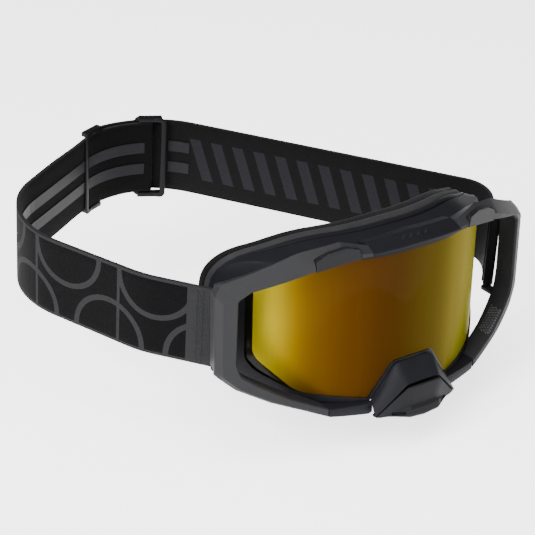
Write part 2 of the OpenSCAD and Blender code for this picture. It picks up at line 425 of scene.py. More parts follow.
# Open-cell polyurethane foam: cells of about 0.5 mm, no gloss.
FOAM = Finish(
    "open_cell_foam", "#232324", "#303031", 0.85, 0.5, 0.9, sheen=0.03, specular=0.03
)
# Brushed fleece facing: short fibres of 0.8 mm that catch light at the edge.
FLEECE = Finish(
    "brushed_fleece",
    "#0b0b0b",
    "#171718",
    0.95,
    0.8,
    1.0,
    sheen=0.05,
    mottle_mm=1.6,
    specular=0.02,
)
# Reticulated filter foam: coarse black cells.
FILTER = Finish("reticulated_foam", "#0c0c0c", "#1a1a1a", 0.95, 0.9, 1.0)
# Rubber studs of the grip patch, lighter than the nylon round them.
GRIP_STUDS = Finish("textured_grip_rubber", "#3c3c3d", "#4a4a4c", 0.6, specular=0.05)
# Silicone printed on the strap: smooth with a wet edge.
SILICONE = Finish(
    "printed_silicone", "#131316", "#19191c", 0.4, 0.6, 0.1, specular=0.08
)
# Bonded polyester thread.
THREAD = Finish("bonded_thread", "#202021", "#282829", 0.6, 0.2, 0.5)
# Gold mirror coating on polycarbonate, with the reflections of its surroundings painted into its colour.
MIRROR = MirrorFinish(
    "gold_mirror_with_painted_reflections",
    "#a8860f",
    "#7a4f00",
    0.38,
    metallic=0.45,
    specular=0.02,
    see_through=0.0015,
    edge_tint="#c7a62a",
)
# Black border printed behind the clear lens: deep and glossy.
BORDER = Finish("printed_lens_border", "#0b0a06", "#141008", 0.22, 2.0, 0.0, coat=0.05)
# The lens's cut edge glows yellow with the light the sheet carries.
CUT_EDGE = Finish("polished_lens_edge", "#b09a1c", "#c9b52c", 0.25, 1.0, 0.0, coat=0.4)
# The lens's rear face: brown tinted polycarbonate, which takes the same painted reflections across the
# lens.
TINT = MirrorFinish("tinted_polycarbonate", "#3a2a10", "#2a1c08", 0.2, see_through=0.8)
# Elastic's patterned outer face: black blocks between grey lines.
WEBBING_OUTER = WovenFinish(
    "patterned_woven_elastic",
    "#060607",
    "#222223",
    0.8,
    grain_depth=0.55,
    sheen=0.02,
    specular=0.03,
    pattern="arcs",
)
# Elastic's plain inner face.
WEBBING_INNER = WovenFinish(
    "plain_woven_elastic", "#080809", "#101012", 0.85, grain_depth=0.5, sheen=0.02, specular=0.03
)
# The other half's inner face carries slanted bars of printed silicone.
WEBBING_GRIP = WovenFinish(
    "grip_printed_elastic",
    "#0a0a0b",
    "#1a1a1d",
    0.7,
    grain_depth=0.45,
    sheen=0.02,
    specular=0.04,
    pattern="grip",
)


# ----------------------------------------------------------------- geometry


@dataclass(frozen=True)
class Drum:
    """Upright cylinder that a bent face lies on."""

    front: float
    radius: float

    def y(self, x: float) -> float:
        """Depth of the cylinder's front at x."""
        return self.front + self.radius - math.sqrt(self.radius**2 - x * x)


def mix(a: Sequence[float], b: Sequence[float], share: float) -> tuple[float, ...]:
    """The point that share of the way from a to b."""
    return tuple(p + (q - p) * share for p, q in zip(a, b))


def arc(a: Point, b: Point, c: Point, radius: float, steps: int) -> list[Point]:
    """Rounds the corner b between a and c.

    Args:
        a: Point before the corner.
        b: The corner.
        c: Point after the corner.
        radius: Radius of the arc, or 0 to keep the corner.
        steps: Number of straight pieces in the arc.

    Returns:
        The arc's points, or the corner alone.
    """
    if radius == 0:
        return [b]
    u = (Vector(a) - Vector(b)).normalized()
    w = (Vector(c) - Vector(b)).normalized()
    half = math.acos(max(-1.0, min(1.0, u.dot(w)))) / 2
    centre = Vector(b) + (u + w).normalized() * radius / math.sin(half)
    first = Vector(b) + u * radius / math.tan(half) - centre
    last = Vector(b) + w * radius / math.tan(half) - centre
    sweep = first.angle_signed(last)
    out = []
    for i in range(steps + 1):
        turned = first.copy()
        turned.rotate(Matrix.Rotation(-sweep * i / steps, 2))
        out.append(tuple(centre + turned))
    return out


def rounded(
    corners: Sequence[Point], radii: Sequence[float], steps: int = 5, spacing: int = 1
) -> list[Point]:
    """Rounds a closed outline's corners.

    Args:
        corners: The outline's corners in order.
        radii: A radius for each corner.
        steps: Straight pieces in each arc.
        spacing: Pieces that each straight run is cut into.

    Returns:
        The closed outline's points.
    """
    count = len(corners)
    arcs = [
        arc(corners[i - 1], corners[i], corners[(i + 1) % count], radii[i], steps)
        for i in range(count)
    ]
    out: list[Point] = []
    for i, part in enumerate(arcs):
        out += part
        after = arcs[(i + 1) % count][0]
        out += [mix(part[-1], after, k / spacing) for k in range(1, spacing)]
    return out


@dataclass(frozen=True)
class Outline:
    """Upright outline, the same on both sides of the nose line.

    The corners run from the top centre out and down to the bottom centre.
    """

    half: tuple[Point, ...]
    radii: tuple[float, ...]

    def loop(self, steps: int = 5, spacing: int = 6) -> list[Point]:
        """The whole outline's points, in the same number for each outline."""
        corners = list(self.half) + [(-x, z) for x, z in self.half[-2:0:-1]]
        radii = list(self.radii) + list(self.radii[-2:0:-1])
        return rounded(corners, radii, steps, spacing)

    def inset(self, dx: float, dz: float) -> "Outline":
        """The outline with its sides moved in by dx and its top and bottom by dz."""

        def step(value: float, by: float) -> float:
            """Moves a coordinate towards zero."""
            return value - math.copysign(by, value) if value else 0.0

        return Outline(tuple((step(x, dx), step(z, dz)) for x, z in self.half), self.radii)

    def toward(self, other: "Outline", share: float) -> "Outline":
        """The outline that share of the way to another one."""
        return Outline(
            tuple(mix(p, q, share) for p, q in zip(self.half, other.half)),
            mix(self.radii, other.radii, share),
        )


def chain(bm: bmesh.types.BMesh, points: Sequence, closed: bool) -> list[bmesh.types.BMEdge]:
    """Adds a row of points joined by edges.

    Args:
        bm: The mesh to add to.
        points: Points in order.
        closed: Whether the last point joins the first.

    Returns:
        The new edges.
    """
    verts = [bm.verts.new(p) for p in points]
    bm.verts.ensure_lookup_table()
    pairs = list(zip(verts, verts[1:])) + ([(verts[-1], verts[0])] if closed else [])
    return [bm.edges.new(pair) for pair in pairs]


def loft(
    bm: bmesh.types.BMesh, rows: Sequence, closed: bool = True, ring: bool = False
) -> tuple[list, list]:
    """Extrudes a row of points through the places of the rows after it.

    Args:
        bm: The mesh to add to.
        rows: Rows with the same number of points, paired in order.
        closed: Whether each row closes on itself.
        ring: Whether the last row joins the first.

    Returns:
        The edges of the first and last row, and the faces of each pair of rows.
    """
    start = chain(bm, rows[0], closed)
    verts = bm.verts[-len(rows[0]) :]
    first, row, faces = list(verts), start, []
    for places in list(rows[1:]) + ([rows[0]] if ring else []):
        made = bmesh.ops.extrude_edge_only(bm, edges=row)["geom"]
        fresh = {v for v in made if isinstance(v, bmesh.types.BMVert)}
        verts = [
            next(e.other_vert(v) for e in v.link_edges if e.other_vert(v) in fresh)
            for v in verts
        ]
        for vert, place in zip(verts, places):
            vert.co = place
        row = [e for e in made if isinstance(e, bmesh.types.BMEdge)]
        faces.append([f for f in made if isinstance(f, bmesh.types.BMFace)])
    if ring:
        bmesh.ops.remove_doubles(bm, verts=first + verts, dist=1e-5)
    return [start, row], faces


def round_edges(
    bm: bmesh.types.BMesh, width: float, angle: float = 28.0, segments: int = 2
) -> None:
    """Rounds every edge that is sharper than an angle.

    Args:
        bm: The mesh.
        width: Width of the rounding, in the mesh's own unit.
        angle: Smallest turn between two faces, in degrees, that counts as an edge.
        segments: Pieces in the rounding.
    """
    limit = math.radians(angle)
    sharp = [e for e in bm.edges if len(e.link_faces) == 2 and e.calc_face_angle() > limit]
    bmesh.ops.bevel(
        bm,
        geom=sharp,
        affect="EDGES",
        offset=width,
        segments=segments,
        profile=0.5,
        material=-1,
        clamp_overlap=True,
    )


def cut_across(bm: bmesh.types.BMesh, low: float, high: float, step: float) -> None:
    """Cuts a flat shape into upright strips, so that it can be bent.

    Args:
        bm: The mesh.
        low: X of the first cut.
        high: X past which there is no cut.
        step: Distance between cuts.
    """
    x = low
    while x < high:
        bmesh.ops.bisect_plane(
            bm,
            geom=bm.verts[:] + bm.edges[:] + bm.faces[:],
            plane_co=(x, 0, 0),
            plane_no=(1, 0, 0),
            dist=1e-4,
        )
        x += step


def finish(
    name: str,
    bm: bmesh.types.BMesh,
    finishes: Sequence[Finish],
    body: str,
    replaces: Sequence[str] = (),
    sharp: float = 32.0,
    closed: bool = True,
) -> bpy.types.Object:
    """Turns a mesh in millimetres into a piece that rides on a body.

    Args:
        name: The piece's name.
        bm: Its mesh, which is freed.
        finishes: Its finishes, in the order of its faces' material numbers.
        body: CAD body that it rides on.
        replaces: CAD nodes that it stands for.
        sharp: Turn between faces, in degrees, past which an edge looks crisp.
        closed: Whether the mesh is a closed shell, whose faces are turned outwards.

    Returns:
        The piece.
    """
    if closed:
        bmesh.ops.recalc_face_normals(bm, faces=bm.faces)
    bmesh.ops.scale(bm, vec=(MM, MM, MM), verts=bm.verts)
    mesh = bpy.data.meshes.new(name)
    bm.to_mesh(mesh)
    bm.free()
    for one in finishes:
        mesh.materials.append(one.material())
    mesh.shade_smooth()
    mesh.set_sharp_from_angle(angle=math.radians(sharp))
    piece = bpy.data.objects.new(name, mesh)
    bpy.context.scene.collection.objects.link(piece)
    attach(piece, body)
    if replaces:
        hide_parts(*replaces)
    log.info("%s: %d faces, rides on %s", name, len(mesh.polygons), body)
    return piece


def apply_modifiers(piece: bpy.types.Object) -> None:
    """Works a piece's modifiers into its mesh."""
    graph = bpy.context.evaluated_depsgraph_get()
    baked = bpy.data.meshes.new_from_object(piece.evaluated_get(graph))
    piece.modifiers.clear()
    old = piece.data
    piece.data = baked
    baked.name = old.name
    bpy.data.meshes.remove(old)


def flatten(piece: bpy.types.Object) -> None:
    """Turns the shading of small roundings to suit the wide faces beside them."""
    weigh = piece.modifiers.new("wide_faces", "WEIGHTED_NORMAL")
    weigh.mode, weigh.weight, weigh.keep_sharp = "FACE_AREA", 50, True
    apply_modifiers(piece)


def softened_copy(
    node_name: str, finish_: Finish, body: str, width: float
) -> bpy.types.Object:
    """Copies a CAD node, merges its triangles and rounds its edges.

    Args:
        node_name: The CAD node.
        finish_: The piece's finish.
        body: Body that it rides on.
        width: Width of the rounding, in millimetres.

    Returns:
        The piece, which stands for the node.
    """
    bm = bmesh.new()
    bm.from_mesh(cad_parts[node_name].data)
    bmesh.ops.scale(bm, vec=(1 / MM, 1 / MM, 1 / MM), verts=bm.verts)
    bmesh.ops.remove_doubles(bm, verts=bm.verts, dist=0.005)
    bmesh.ops.dissolve_limit(
        bm, angle_limit=math.radians(0.5), verts=bm.verts, edges=bm.edges
    )
    round_edges(bm, width)
    piece = finish(node_name + "_shell", bm, [finish_], body, [node_name], sharp=20)
    flatten(piece)
    return piece


@dataclass
class BentSolid:
    """Solid cut to upright outlines and bent between two drums.

    Each row is an outline with its depth behind the front face.
    """

    front: Drum
    back: Drum
    depth: float
    rows: list[tuple[list[Point], list[float]]]
    step: float = 3.0
    edge: float = 0.4
    row_materials: tuple[int, ...] = ()
    cap_materials: tuple[int, int] = (0, 0)

    def mesh(self) -> bmesh.types.BMesh:
        """Lofts the rows, closes both ends, cuts it into strips and bends it.

        Returns:
            The bent mesh, in millimetres.
        """
        bm = bmesh.new()
        rows = [[(x, d, z) for (x, z), d in zip(points, depths)] for points, depths in self.rows]
        edges, faces = loft(bm, rows)
        for number, pair in zip(self.row_materials, faces):
            for face in pair:
                face.material_index = number
        for number, end in zip(self.cap_materials, (edges[0], edges[-1])):
            for face in bmesh.ops.contextual_create(bm, geom=end)["faces"]:
                face.material_index = number
        bmesh.ops.recalc_face_normals(bm, faces=bm.faces)
        xs = [v.co.x for v in bm.verts]
        start = math.floor(min(xs) / self.step) * self.step + self.step
        cut_across(bm, start, max(xs), self.step)
        self.bend(bm)
        if self.edge:
            round_edges(bm, self.edge)
        return bm

    def bend(self, bm: bmesh.types.BMesh) -> None:
        """Moves each point from its depth to its place between the drums."""
        for v in bm.verts:
            near, far = self.front.y(v.co.x), self.back.y(v.co.x)
            v.co.y = near + (far - near) * v.co.y / self.depth


# ---------------------------------------------------------------- the frame

LENS_DRUM = Drum(-42.5, 82.0)
RIG_DRUM = Drum(-43.5, 160.0)
RIG_BACK = Drum(-32.5, 149.0)
FLANGE_DRUM = Drum(-16.0, 112.0)
CRISP = (0.0, 60.0, 9.0, 11.0, 12.0, 3.0, 4.0, 0.0)
SOFT = (0.0, 60.0, 24.0, 20.0, 12.0, 8.0, 7.0, 0.0)
LENS_EDGE = Outline(
    ((0, 40.4), (40, 38.8), (74, 29), (74, -25.5), (58, -35.4), (24.6, -40.6), (12.6, -21.6), (0, -21)),
    CRISP,
)
RIM = Outline(
    ((0, 43), (42, 41.4), (77.5, 32), (77.5, -29), (59, -39), (26.5, -44), (9, -26.6), (0, -26)),
    CRISP,
)
PORT = Outline(
    ((0, 31), (42, 30), (70, 20), (70, -14), (52, -22), (30, -23.5), (17, -8), (0, -5)), SOFT
)
APERTURE = Outline(
    ((0, 38), (38, 36.4), (70.4, 27), (70.4, -19), (56.5, -34.2), (27, -37.6), (14.5, -18.5), (0, -18)),
    CRISP,
)
FLANGE = Outline(
    ((0, 44.5), (46, 42.8), (82, 28.5), (82, -27), (58, -43), (27, -45.5), (13, -24), (0, -20)),
    SOFT,
)
GOLD = Outline(
    (
        (0, 40.1),
        (40, 38.5),
        (70.4, 29.6),
        (70.4, -19),
        (56.2, -34.9),
        (25.4, -40.1),
        (13.1, -20.9),
        (0, -20.3),
    ),
    CRISP,
)


def between(a: Drum, b: Drum, share: float) -> Callable[[float], float]:
    """Depth at x of the surface that share of the way from drum a to drum b."""
    return lambda x: a.y(x) + (b.y(x) - a.y(x)) * share


@dataclass
class FrameShell:
    """Soft frame: rim, tunnel, face flange, brow, nose arch and lower rail."""

    lip: Drum = field(default_factory=lambda: Drum(-42.9, 83.4))
    brow_half: float = 26.9
    rail: tuple[Point, ...] = ((23, -41.4), (46.6, -40.8), (46.6, -45.4), (25, -47.8), (23, -47))
    body: str = "goggles"

    def build(self) -> None:
        """Makes every piece of the frame."""
        self.tunnel()
        self.brow()
        self.brow_marks()
        self.lower_rail()
        self.nose_arch()

    def tunnel(self) -> bpy.types.Object:
        """Rim, tunnel with its vent channel, and face flange, as one ring.

        Returns:
            The piece.
        """
        seat = Drum(LENS_DRUM.front + 2.3, LENS_DRUM.radius - 2.3)
        lip, flange = self.lip, FLANGE_DRUM
        seat_in = LENS_EDGE.inset(-0.35, -0.35)
        stations = [
            (seat_in, between(seat, seat, 0)),
            (seat_in, between(lip, flange, 0.02)),
            (seat_in.inset(-0.5, -0.5), between(lip, flange, 0.0)),
            (RIM.inset(0.9, 0.9), between(lip, flange, 0.0)),
            (RIM.inset(0.2, 0.2), between(lip, flange, 0.03)),
            (RIM, between(lip, flange, 0.08)),
            (RIM.toward(FLANGE, 0.45), between(lip, flange, 0.45)),
            (RIM.toward(FLANGE, 0.8), between(lip, flange, 0.80)),
            (RIM.toward(FLANGE, 0.82).inset(1.2, 1.2), between(lip, flange, 0.815)),
            (RIM.toward(FLANGE, 0.86).inset(1.2, 1.2), between(lip, flange, 0.855)),
            (RIM.toward(FLANGE, 0.88).inset(0.2, 0.2), between(lip, flange, 0.87)),
            (FLANGE.inset(0.1, 0.1), between(lip, flange, 0.90)),
            (FLANGE, between(lip, flange, 0.95)),
            (FLANGE.inset(0.3, 0.3), between(flange, flange, 0)),
            (PORT, between(flange, flange, 0)),
            (PORT, between(Drum(-18.4, 112), flange, 0)),
            (APERTURE, between(seat, flange, 0.16)),
            (APERTURE, between(seat, seat, 0)),
        ]
        rows = [[(x, y(x), z) for x, z in line.loop()] for line, y in stations]
        bm = bmesh.new()
        loft(bm, rows, ring=True)
        return finish(
            "frame_shell", bm, [SOFT_POLYURETHANE], self.body, ["frame"]
        )

    def brow(self) -> bpy.types.Object:
        """Sloping brow plate between the outriggers' arms.

        Returns:
            The piece.
        """
        w = self.brow_half
        low = [(-w, 40.8), (0, 41.4), (w, 40.8)]
        front = low + [(w, 42.2), (0, 42.9), (-w, 42.2)]
        slope = low + [(w, 45.2), (0, 46.4), (-w, 45.2)]
        back = low + [(w, 43.6), (0, 45.4), (-w, 43.6)]
        solid = BentSolid(
            RIG_DRUM,
            Drum(-29.5, 146.0),
            14.0,
            [
                (front, [0.0] * 6),
                (slope, [0.6] * 3 + [8.0] * 3),
                (back, [14.0] * 6),
            ],
            edge=0.45,
        )
        piece = finish("brow_plate", solid.mesh(), [SOFT_POLYURETHANE], self.body)
        flatten(piece)
        return piece

    def brow_marks(self) -> bpy.types.Object:
        """Row of small raised lozenges on the brow's slope.

        Returns:
            The piece.
        """
        bm = bmesh.new()
        for i in range(4):
            x = (i - 1.5) * 4.6
            made = bmesh.ops.create_circle(bm, cap_ends=True, segments=4, radius=1.9)
            top = bmesh.ops.extrude_face_region(bm, geom=made["verts"][0].link_faces[:])
            raised = [v for v in top["geom"] if isinstance(v, bmesh.types.BMVert)]
            bmesh.ops.translate(bm, verts=raised, vec=(0, 0, 0.35))
            bmesh.ops.scale(bm, vec=(0.7, 0.7, 1), verts=raised)
            every = made["verts"] + raised
            place = Matrix.Translation((x, RIG_DRUM.y(x) + 4.1, 44.55)) @ Matrix.Rotation(
                math.radians(64), 4, "X"
            )
            bmesh.ops.transform(bm, matrix=place, verts=every)
        return finish("brow_emboss", bm, [SOFT_POLYURETHANE], self.body)

    def lower_rail(self) -> None:
        """Short bar under the lens between each outrigger and the nose arch."""
        for side in Side:
            points = [(side.value * x, z) for x, z in self.rail]
            inner = [mix(p, (side.value * 34, -44), 0.06) for p in points]
            solid = BentSolid(
                RIG_DRUM,
                Drum(-34.5, 151.0),
                9.0,
                [(inner, [0.0] * 5), (points, [0.8] * 5), (points, [9.0] * 5)],
                edge=0.35,
            )
            finish(
                "lower_rail_" + side.label,
                solid.mesh(),
                [SOFT_POLYURETHANE],
                self.body,
            )

    def nose_arch(self) -> bpy.types.Object:
        """Faceted arch over the nose, from the lens's notch to the guard.

        Returns:
            The piece.
        """
        bm = bmesh.new()
        rows = []
        for foot, top, tops, bulge in (
            ((23.6, -39.6, -41.6), (10.4, -38.6, -22.6), 5.0, 0.0),
            ((24.2, -42.2, -41.6), (11.2, -43.4, -21.8), 5.0, 0.0),
            ((24.9, -43.6, -42.8), (11.2, -45.0, -22.8), 4.8, 0.3),
            ((25.4, -45.6, -44.8), (10.6, -48.6, -26.6), 4.4, 0.5),
            ((25.8, -46.9, -46.9), (9.9, -52.0, -30.2), 3.8, 0.3),
            ((25.4, -46.3, -47.2), (9.6, -51.4, -30.9), 3.8, 0.0),
            ((24.8, -45.6, -47.5), (9.3, -50.7, -32.2), 3.8, 0.0),
            ((23.0, -44.2, -48.8), (8.6, -50.0, -37.0), 3.8, 0.0),
        ):
            corners = [(-foot[0], foot[2]), (-top[0], top[2]), (top[0], top[2]), (foot[0], foot[2])]
            line = [corners[0]]
            for i in (1, 2):
                line += [mix(line[-1], corners[i], k / 4) for k in (1, 2, 3)]
                line += arc(corners[i - 1], corners[i], corners[i + 1], tops, 4)
            line += [mix(line[-1], corners[3], k / 4) for k in (1, 2, 3, 4)]
            row = []
            for x, z in line:
                share = min(1.0, max(0.0, (z - foot[2]) / (top[2] - foot[2])))
                y = foot[1] + (top[1] - foot[1]) * share - bulge * math.sin(math.pi * share)
                row.append((x, y, z))
            rows.append(row)
        loft(bm, rows, closed=False)
        bmesh.ops.recalc_face_normals(bm, faces=bm.faces)
        if sum(f.normal.y for f in bm.faces) > 0:
            bmesh.ops.reverse_faces(bm, faces=bm.faces)
        bmesh.ops.solidify(bm, geom=bm.faces[:], thickness=1.6)
        return finish("nose_arch", bm, [SOFT_POLYURETHANE], self.body, sharp=24)


# ------------------------------------------------------------- outriggers


@dataclass
class Latch:
    """Where a lens latch sits in an outrigger's arm."""

    x: float = 45.0
    z: float = 41.6
    roll: float = 10.5
    outline: tuple[Point, ...] = (
        (-11.6, -3),
        (-11.2, 2.2),
        (-5, 5),
        (4.6, 5),
        (11.2, 2.4),
        (11.6, -3),
    )

    def place(self, side: Side) -> Matrix:
        """The latch's own frame, mirrored for the wearer's right."""
        yaw = math.asin(self.x / RIG_DRUM.radius)
        made = (
            Matrix.Translation((self.x, RIG_DRUM.y(self.x), self.z))
            @ Matrix.Rotation(yaw, 4, "Z")
            @ Matrix.Rotation(math.radians(self.roll), 4, "Y")
        )
        return Matrix.Scale(side.value, 4, (1, 0, 0)) @ made

    def cutter(self, side: Side, hinge: bool) -> bpy.types.Object:
        """A solid to cut from the arm: the plate's recess, or room for its hinge.

        Args:
            side: The wearer's side.
            hinge: Whether to make the hinge's room instead of the plate's.

        Returns:
            A plain object, to be removed after the cut.
        """
        bm = bmesh.new()
        if hinge:
            made = bmesh.ops.create_cone(
                bm, cap_ends=True, segments=32, radius1=2.0, radius2=2.0, depth=18.4
            )["verts"]
            turn = Matrix.Translation((-0.2, 1.3, 3.6)) @ Matrix.Rotation(math.pi / 2, 4, "Y")
            bmesh.ops.transform(bm, matrix=turn, verts=made)
        else:
            grown = [
                (a + math.copysign(0.35, a), w + 0.35 if w > 0 else w - 1.6)
                for a, w in self.outline
            ]
            edges, _ = loft(bm, [[(a, y, w) for a, w in grown] for y in (-4.0, 3.1)])
            for end in edges:
                bmesh.ops.contextual_create(bm, geom=end)
        bmesh.ops.transform(bm, matrix=self.place(side), verts=bm.verts)
        bmesh.ops.recalc_face_normals(bm, faces=bm.faces)
        bmesh.ops.scale(bm, vec=(MM, MM, MM), verts=bm.verts)
        mesh = bpy.data.meshes.new("cutter")
        bm.to_mesh(mesh)
        bm.free()
        tool = bpy.data.objects.new("cutter", mesh)
        bpy.context.scene.collection.objects.link(tool)
        return tool


# Outrigger outline on the wearer's left. Each corner has its place on the
# arm's crest or the post's side, the shift and depth of its front edge,
# the shift of its back edge, and its radius.
RIG_CORNERS = (
    # x, z, front dx, front dz, depth, back dx, back dz, radius
    (27.2, 40.6, 0.0, 0.3, 0.5, 0.0, 0.0, 0.0),
    (33.3, 40.6, 0.0, 0.3, 0.5, 0.0, 0.0, 0.0),
    (56.5, 36.4, 0.0, 0.3, 0.5, 0.0, 0.0, 0.0),
    (83.0, 27.0, 0.8, 0.7, 0.9, 0.0, 0.0, 1.5),
    (88.0, 22.0, 1.0, 0.4, 1.2, -0.6, 0.0, 2.5),
    (88.5, -12.0, 1.0, 0.0, 1.2, -0.8, 0.0, 8.0),
    (86.5, -19.0, 0.9, -0.5, 1.2, -0.8, 0.0, 5.0),
    (79.0, -24.3, 0.4, -0.7, 1.0, 0.0, 0.0, 6.0),
    (64.6, -32.7, 0.2, -0.6, 0.8, 0.0, 0.0, 8.0),
    (47.0, -40.4, 0.0, -0.5, 0.6, 0.0, 0.0, 0.0),
    (47.0, -45.0, 0.0, 0.6, 0.8, 0.0, 0.4, 0.0),
    (59.0, -40.0, -0.2, 0.9, 1.2, 0.0, 0.4, 8.0),
    (73.5, -34.6, -0.4, 1.1, 1.6, -0.8, 0.8, 8.0),
    (88.0, -27.6, -1.0, 1.2, 2.4, -2.0, 1.2, 8.0),
    (96.3, -20.0, -1.7, 0.8, 2.8, -2.8, 0.8, 5.0),
    (96.3, 23.4, -1.7, -1.4, 3.0, -2.8, -0.8, 2.0),
    (92.2, 28.4, -3.2, -3.6, 6.2, -2.0, -1.2, 1.5),
    (60.0, 44.6, -0.6, -5.6, 6.4, 0.0, -3.4, 10.0),
    (42.0, 49.0, 0.0, -5.0, 5.0, 0.0, -4.6, 3.0),
    (27.2, 45.0, 0.0, -2.6, 4.4, 0.0, -2.2, 0.0),
)


@dataclass
class Outriggers:
    """Stiff side frames: brow arm, post with the strap's bar, and lower rail."""

    depth: float = 11.0
    latch: Latch = field(default_factory=Latch)
    lug: tuple[float, float, float] = (5.0, 12.0, 2.8)
    strap_w: float = 44.0
    strap_z: float = -1.5
    bar: Point = (87.5, 1.5)
    body: str = "goggles"

    def build(self) -> None:
        """Makes both outriggers with their lugs, and the patch on the left one."""
        for side in Side:
            self.shell(side)
            self.lugs(side)
        self.patch(Side.LEFT)

    def shell(self, side: Side) -> bpy.types.Object:
        """One outrigger, with the recess for its latch cut in.

        Args:
            side: The wearer's side.

        Returns:
            The piece.
        """
        s = side.value
        radii = [c[7] for c in RIG_CORNERS]

        def line(dx: int, dz: int) -> list[Point]:
            """The outline with each corner moved by two of its columns."""
            moved = [(s * (c[0] + (c[dx] if dx else 0)), c[1] + (c[dz] if dz else 0)) for c in RIG_CORNERS]
            return rounded(moved, radii, 4, 1)

        def depths(column: int) -> list[float]:
            """A depth for each point of the rounded outline."""
            spread: list[float] = []
            for corner in RIG_CORNERS:
                spread += [corner[column]] * (5 if corner[7] else 1)
            return spread

        crest, front, back = line(0, 0), line(2, 3), line(5, 6)
        count = len(crest)
        solid = BentSolid(
            RIG_DRUM,
            RIG_BACK,
            self.depth,
            [(front, [0.0] * count), (crest, depths(4)), (back, [self.depth] * count)],
            edge=0.35,
        )
        piece = finish(
            "outrigger_shell_" + side.label,
            solid.mesh(),
            [PAINTED_NYLON],
            self.body,
            ["outrigger_" + side.label],
            sharp=24,
        )
        for hinge in (False, True):
            tool = self.latch.cutter(side, hinge)
            cut = piece.modifiers.new("cut", "BOOLEAN")
            cut.operation, cut.object, cut.solver = "DIFFERENCE", tool, "EXACT"
            apply_modifiers(piece)
            bpy.data.objects.remove(tool)
        piece.data.set_sharp_from_angle(angle=math.radians(24))
        flatten(piece)
        return piece

    def lugs(self, side: Side) -> bpy.types.Object:
        """The two rounded lugs that hold the strap's bar.

        Args:
            side: The wearer's side.

        Returns:
            The piece.
        """
        bm = bmesh.new()
        for s in (-1, 1):
            made = bmesh.ops.create_cube(bm, size=1.0)["verts"]
            bmesh.ops.scale(bm, vec=self.lug, verts=made)
            z = s * (self.strap_w / 2 + 2.2) + self.strap_z
            bmesh.ops.translate(
                bm, verts=made, vec=(side.value * (self.bar[0] - 0.4), self.bar[1] - 3.5, z)
            )
        round_edges(bm, 0.9, segments=3)
        return finish("strap_lugs_" + side.label, bm, [PAINTED_NYLON], self.body)

    def patch(self, side: Side) -> bpy.types.Object:
        """Grip patch on the lower diagonal: rows of small raised studs.

        Args:
            side: The wearer's side.

        Returns:
            The piece.
        """
        bm = bmesh.new()
        wall = Vector((76.5, -25.8)), Vector((61.5, -34.1))
        way = (wall[1] - wall[0]).normalized()
        up = Vector((way.y, -way.x))
        for i in range(10):
            for k in range(5):
                at = wall[0] + way * (0.8 + 1.6 * (i + 0.5 * (k % 2))) + up * 0.15
                deep = RIG_DRUM.y(at.x) + 2.0 + 1.6 * k
                made = bmesh.ops.create_cone(
                    bm, cap_ends=True, segments=6, radius1=0.85, radius2=0.6, depth=1.3
                )["verts"]
                lean = math.atan2(up.x, up.y)
                place = Matrix.Translation((side.value * at.x, deep, at.y)) @ Matrix.Rotation(
                    side.value * lean, 4, "Y"
                )
                bmesh.ops.transform(bm, matrix=place, verts=made)
        return finish("grip_patch", bm, [GRIP_STUDS], self.body)


# ------------------------------------------------------------------- lens


@dataclass
class Lens:
    """Bent single lens with a mirror coating and a printed border."""

    thickness: float = 2.0
    bevel: float = 0.35

    def build(self) -> bpy.types.Object:
        """Front with its gold field and black border, cut edge, and tinted rear.

        Returns:
            The piece.
        """
        t = self.thickness
        edge = LENS_EDGE.loop(spacing=1)
        near = LENS_EDGE.inset(self.bevel, self.bevel).loop(spacing=1)
        gold = GOLD.loop(spacing=1)
        count = len(edge)
        solid = BentSolid(
            LENS_DRUM,
            Drum(LENS_DRUM.front + t, LENS_DRUM.radius - t),
            t,
            [
                (near, [t] * count),
                (edge, [t - self.bevel] * count),
                (edge, [self.bevel] * count),
                (near, [0.0] * count),
                (gold, [0.0] * count),
            ],
            edge=0.0,
            row_materials=(2, 2, 2, 1),
            cap_materials=(3, 0),
        )
        return finish(
            "mirror_lens",
            solid.mesh(),
            [MIRROR, BORDER, CUT_EDGE, TINT],
            "lens",
            ["lens"],
        )


# ------------------------------------------------------------------- foam


